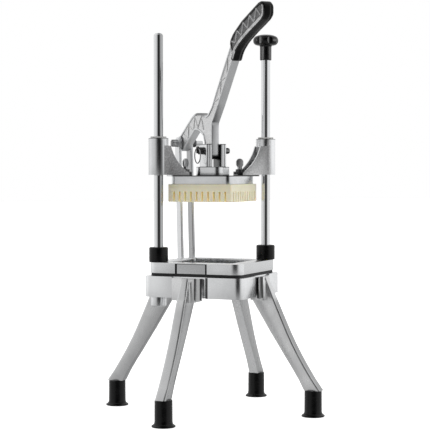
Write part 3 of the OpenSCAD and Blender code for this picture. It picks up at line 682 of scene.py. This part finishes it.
# the grip: a moulded sleeve with a ribbed side panel
GRIP = [
    (-88.6, 563.8, 2.0), (-96.4, 547.2, 2.5), (-98.5, 545.6, 2.0), (-109.3, 554.9, 20), (-122.6, 562.6, 20), (-136.5, 568.4, 30), (-161.0, 577.3, 30), (-185.2, 585.0, 30),
    (-203.0, 591.2, 14), (-211.8, 597.2, 9), (-211.8, 611.2, 9), (-203.0, 617.8, 9), (-194.0, 616.8, 20), (-164.1, 606.8, 30), (-133.1, 596.2, 30), (-114.2, 587.2, 30), (-100.4, 580.2, 20), (-90.3, 571.4, 8),
]
GRIP = list(reversed(GRIP))
grip_sharp = [(y, z) for y, z, _ in GRIP]
grip_caps = [r for _, _, r in GRIP]
G = 9.3
def grip_ridge(k, y, z):
    """True for the faces of the ridge along the lower front edge and round the tip of the side panel, which carry a
    painted highlight.
    """
    if y < -203.5:
        return k in (3, 4) and z < 611.5
    return k in (2, 3, 4) and z < 561.5 + 0.343 * (-96.0 - y) and y < -98.0


grip_obj = loft_x(
    "grip_sleeve", grip_sharp, grip_caps,
    [(5.4, -G + 1.5), (5.0, -G + 0.35), (4.6, -G), (3.2, -G), (1.9, -G + 0.45), (0.85, -G + 1.35), (0.2, -G + 2.6), (0, -G + 4.2),
     (0, G - 4.2), (0.2, G - 2.6), (0.85, G - 1.35), (1.9, G - 0.45), (3.2, G), (4.6, G), (5.0, G - 0.35), (5.4, G - 1.5)],
    GRIP_RUBBER, "lever", GRIP_PANEL, 5, (GRIP_BAND, grip_ridge))
grip_line = [(-96.5, 563.5), (-106.0, 570.6), (-119.0, 577.4), (-135.0, 583.8), (-162.6, 593.2), (-190.0, 601.6), (-202.0, 605.2)]
grip_ribs = zigzag("grip_zigzag", grip_line, lambda t: 6.0 if t < 0.2 else (7.5 if t < 0.75 else 7.9), 12.4, 3.6, G - 1.9, G - 0.4, GRIP_RIB, 1.0)
finish_mesh(grip_obj, 0, weld=False, dissolve=False)
finish_mesh(grip_ribs, 0.3, 2, weld=False, dissolve=False)
LIP = list(reversed([(-93.0, 545.2, 1.0), (-92.6, 541.4, 1.5), (-95.4, 539.4, 2.5), (-98.6, 542.0, 4.0), (-102.2, 547.6, 6.0), (-108.0, 553.6, 2.0), (-102.0, 557.5, 1.0), (-96.0, 550.0, 2.0)]))
grip_lip = loft_x(
    "grip_end_lip", [(y, z) for y, z, _ in LIP], [r for _, _, r in LIP],
    [(2.1, -G + 0.6), (1.1, -G + 1.1), (0.4, -G + 2.1), (0, -G + 3.8), (0, G - 3.8), (0.4, G - 2.1), (1.1, G - 1.1), (2.1, G - 0.6)], GRIP_RUBBER, "lever", GRIP_RUBBER, 5,
    (GRIP_BAND, lambda k, y, z: k in (0, 1) and y < -97.5 and z < 556))
finish_mesh(grip_lip, 0, weld=False, dissolve=False)
for o in (grip_obj, grip_ribs, grip_lip):
    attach(o, "lever")
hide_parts("grip")


# zigzag ribs in the trough of each head web; angles are counted from straight down, away from the middle
def web_ribs(name, s):
    bm = bmesh.new()
    pts = [(math.radians(41.5 + 5.2 * k), 6.4 if k % 2 else -10.8) for k in range(5)]
    for (a0, y0), (a1, y1) in zip(pts, pts[1:]):
        q = []
        for r in (80.2, 72.6):
            for ang, y in ((a0, y0), (a1, y1)):
                for w in (0.9, -0.9):
                    t = ang + w / r
                    q.append(bm.verts.new((s * (7 + r * math.sin(t)) * MM, y * MM, (431 - r * math.cos(t)) * MM)))
        faces = [(0, 1, 3, 2), (4, 6, 7, 5), (0, 2, 6, 4), (1, 5, 7, 3), (0, 4, 5, 1), (2, 3, 7, 6)]
        made = [bm.faces.new([q[i] for i in f]) for f in faces]
        bmesh.ops.recalc_face_normals(bm, faces=made)
    o = new_object(name, bm, WEB)
    finish_mesh(o, 0.25, 2, weld=False, dissolve=False)
    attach(o, "head")
    return o


web_ribs("web_ribs_left", -1)
web_ribs("web_ribs_right", 1)


# ------------------------------------------------------------------ stage and light
def floor():
    m = Tree("pale_floor")
    m.b.inputs["Base Color"].default_value = (0.9, 0.9, 0.9, 1)
    m.b.inputs["Roughness"].default_value = 0.6
    m.b.inputs["Emission Color"].default_value = (1, 1, 1, 1)
    m.b.inputs["Emission Strength"].default_value = 0.80
    bm = bmesh.new()
    bmesh.ops.create_grid(bm, x_segments=1, y_segments=1, size=14.0)
    o = new_object("floor", bm, m.m)
    o.location.z = -0.0004
    o.visible_glossy = False
    return o


floor()


def soft_box(name, azimuth, elevation, dist, size, watts):
    """A soft area light that the camera doesn't see."""
    a, e = math.radians(azimuth), math.radians(elevation)
    back = Vector((math.sin(a) * math.cos(e), -math.cos(a) * math.cos(e), math.sin(e)))
    data = bpy.data.lights.new(name, "AREA")
    data.shape = "RECTANGLE"
    data.size, data.size_y = size
    data.energy = watts
    o = bpy.data.objects.new(name, data)
    scene.collection.objects.link(o)
    o.visible_camera = False
    o.visible_glossy = False
    o.location = Vector((0, 0, 0.3)) + back * dist
    o.rotation_mode = "QUATERNION"
    o.rotation_quaternion = back.to_track_quat("Z", "Y")
    return o


soft_box("soft_left", -80, 30, 2.6, (1.2, 1.6), 2)
soft_box("soft_right", 50, 35, 2.8, (1.2, 1.6), 14)


def studio_world():
    """A white studio with a dark gap between its two large soft boxes. The camera itself sees plain white."""
    world = bpy.data.worlds.new("studio")
    scene.world = world
    world.use_nodes = True
    t = world.node_tree
    t.nodes.clear()

    def node(kind, **values):
        n = t.nodes.new(kind)
        for k, v in values.items():
            setattr(n, k, v)
        return n

    def op(kind, a, b=None):
        n = node("ShaderNodeMath", operation=kind)
        for sock, v in zip(n.inputs, (a, b)):
            if v is None:
                continue
            if isinstance(v, (int, float)):
                sock.default_value = v
            else:
                t.links.new(v, sock)
        return n.outputs[0]

    def step(v, lo, hi):
        n = node("ShaderNodeMapRange", interpolation_type="SMOOTHSTEP")
        n.inputs["From Min"].default_value = lo
        n.inputs["From Max"].default_value = hi
        t.links.new(v, n.inputs["Value"])
        return n.outputs["Result"]

    def blend(f, a, b):
        n = node("ShaderNodeMix")
        t.links.new(f, n.inputs["Factor"])
        for sock, v in ((n.inputs["A"], a), (n.inputs["B"], b)):
            if isinstance(v, (int, float)):
                sock.default_value = v
            else:
                t.links.new(v, sock)
        return n.outputs["Result"]

    tc = node("ShaderNodeTexCoord")
    sep = node("ShaderNodeSeparateXYZ")
    t.links.new(tc.outputs["Generated"], sep.inputs["Vector"])
    azimuth = op("DIVIDE", op("ARCTAN2", sep.outputs["X"], op("MULTIPLY", sep.outputs["Y"], -1.0)), math.pi / 180)
    # brightness all round, as (azimuth in degrees, brightness)
    stops = WORLD_STOPS
    value = stops[0][1]
    for (a0, v0), (a1, v1) in zip(stops, stops[1:]):
        f = step(azimuth, a0, a1)
        n = node("ShaderNodeMix")
        t.links.new(f, n.inputs["Factor"])
        if isinstance(value, (int, float)):
            n.inputs["A"].default_value = value
        else:
            t.links.new(value, n.inputs["A"])
        n.inputs["B"].default_value = v1
        value = n.outputs["Result"]
    value = blend(step(sep.outputs["Z"], *WORLD_TOP[:2]), value, WORLD_TOP[2])
    value = blend(step(sep.outputs["Z"], *WORLD_CAP[:2]), value, WORLD_CAP[2])
    value = blend(step(op("MULTIPLY", sep.outputs["Z"], -1.0), *WORLD_LOW[:2]), value, WORLD_LOW[2])
    lit = node("ShaderNodeBackground")
    t.links.new(value, lit.inputs["Strength"])
    seen = node("ShaderNodeBackground")
    seen.inputs["Strength"].default_value = 1.0
    for n in (lit, seen):
        n.inputs["Color"].default_value = (1, 1, 1, 1)
    path = node("ShaderNodeLightPath")
    mixed = node("ShaderNodeMixShader")
    out = node("ShaderNodeOutputWorld")
    t.links.new(path.outputs["Is Camera Ray"], mixed.inputs["Fac"])
    t.links.new(lit.outputs[0], mixed.inputs[1])
    t.links.new(seen.outputs[0], mixed.inputs[2])
    t.links.new(mixed.outputs[0], out.inputs["Surface"])


WORLD_STOPS = [(-180, 0.80), (-150, 0.88), (-118, 0.94), (-100, 0.78), (-71, 0.70), (-54, 0.52), (-45, 0.30), (-35, 0.06), (-20, 0.015), (-2, 0.03),
               (8, 0.10), (22, 0.55), (34, 0.82), (60, 0.92), (112, 0.90), (140, 0.85), (179, 0.80)]
WORLD_TOP = (0.78, 0.86, 0.85)
WORLD_CAP = (0.90, 0.97, 0.06)
WORLD_LOW = (0.05, 0.45, 0.48)
studio_world()
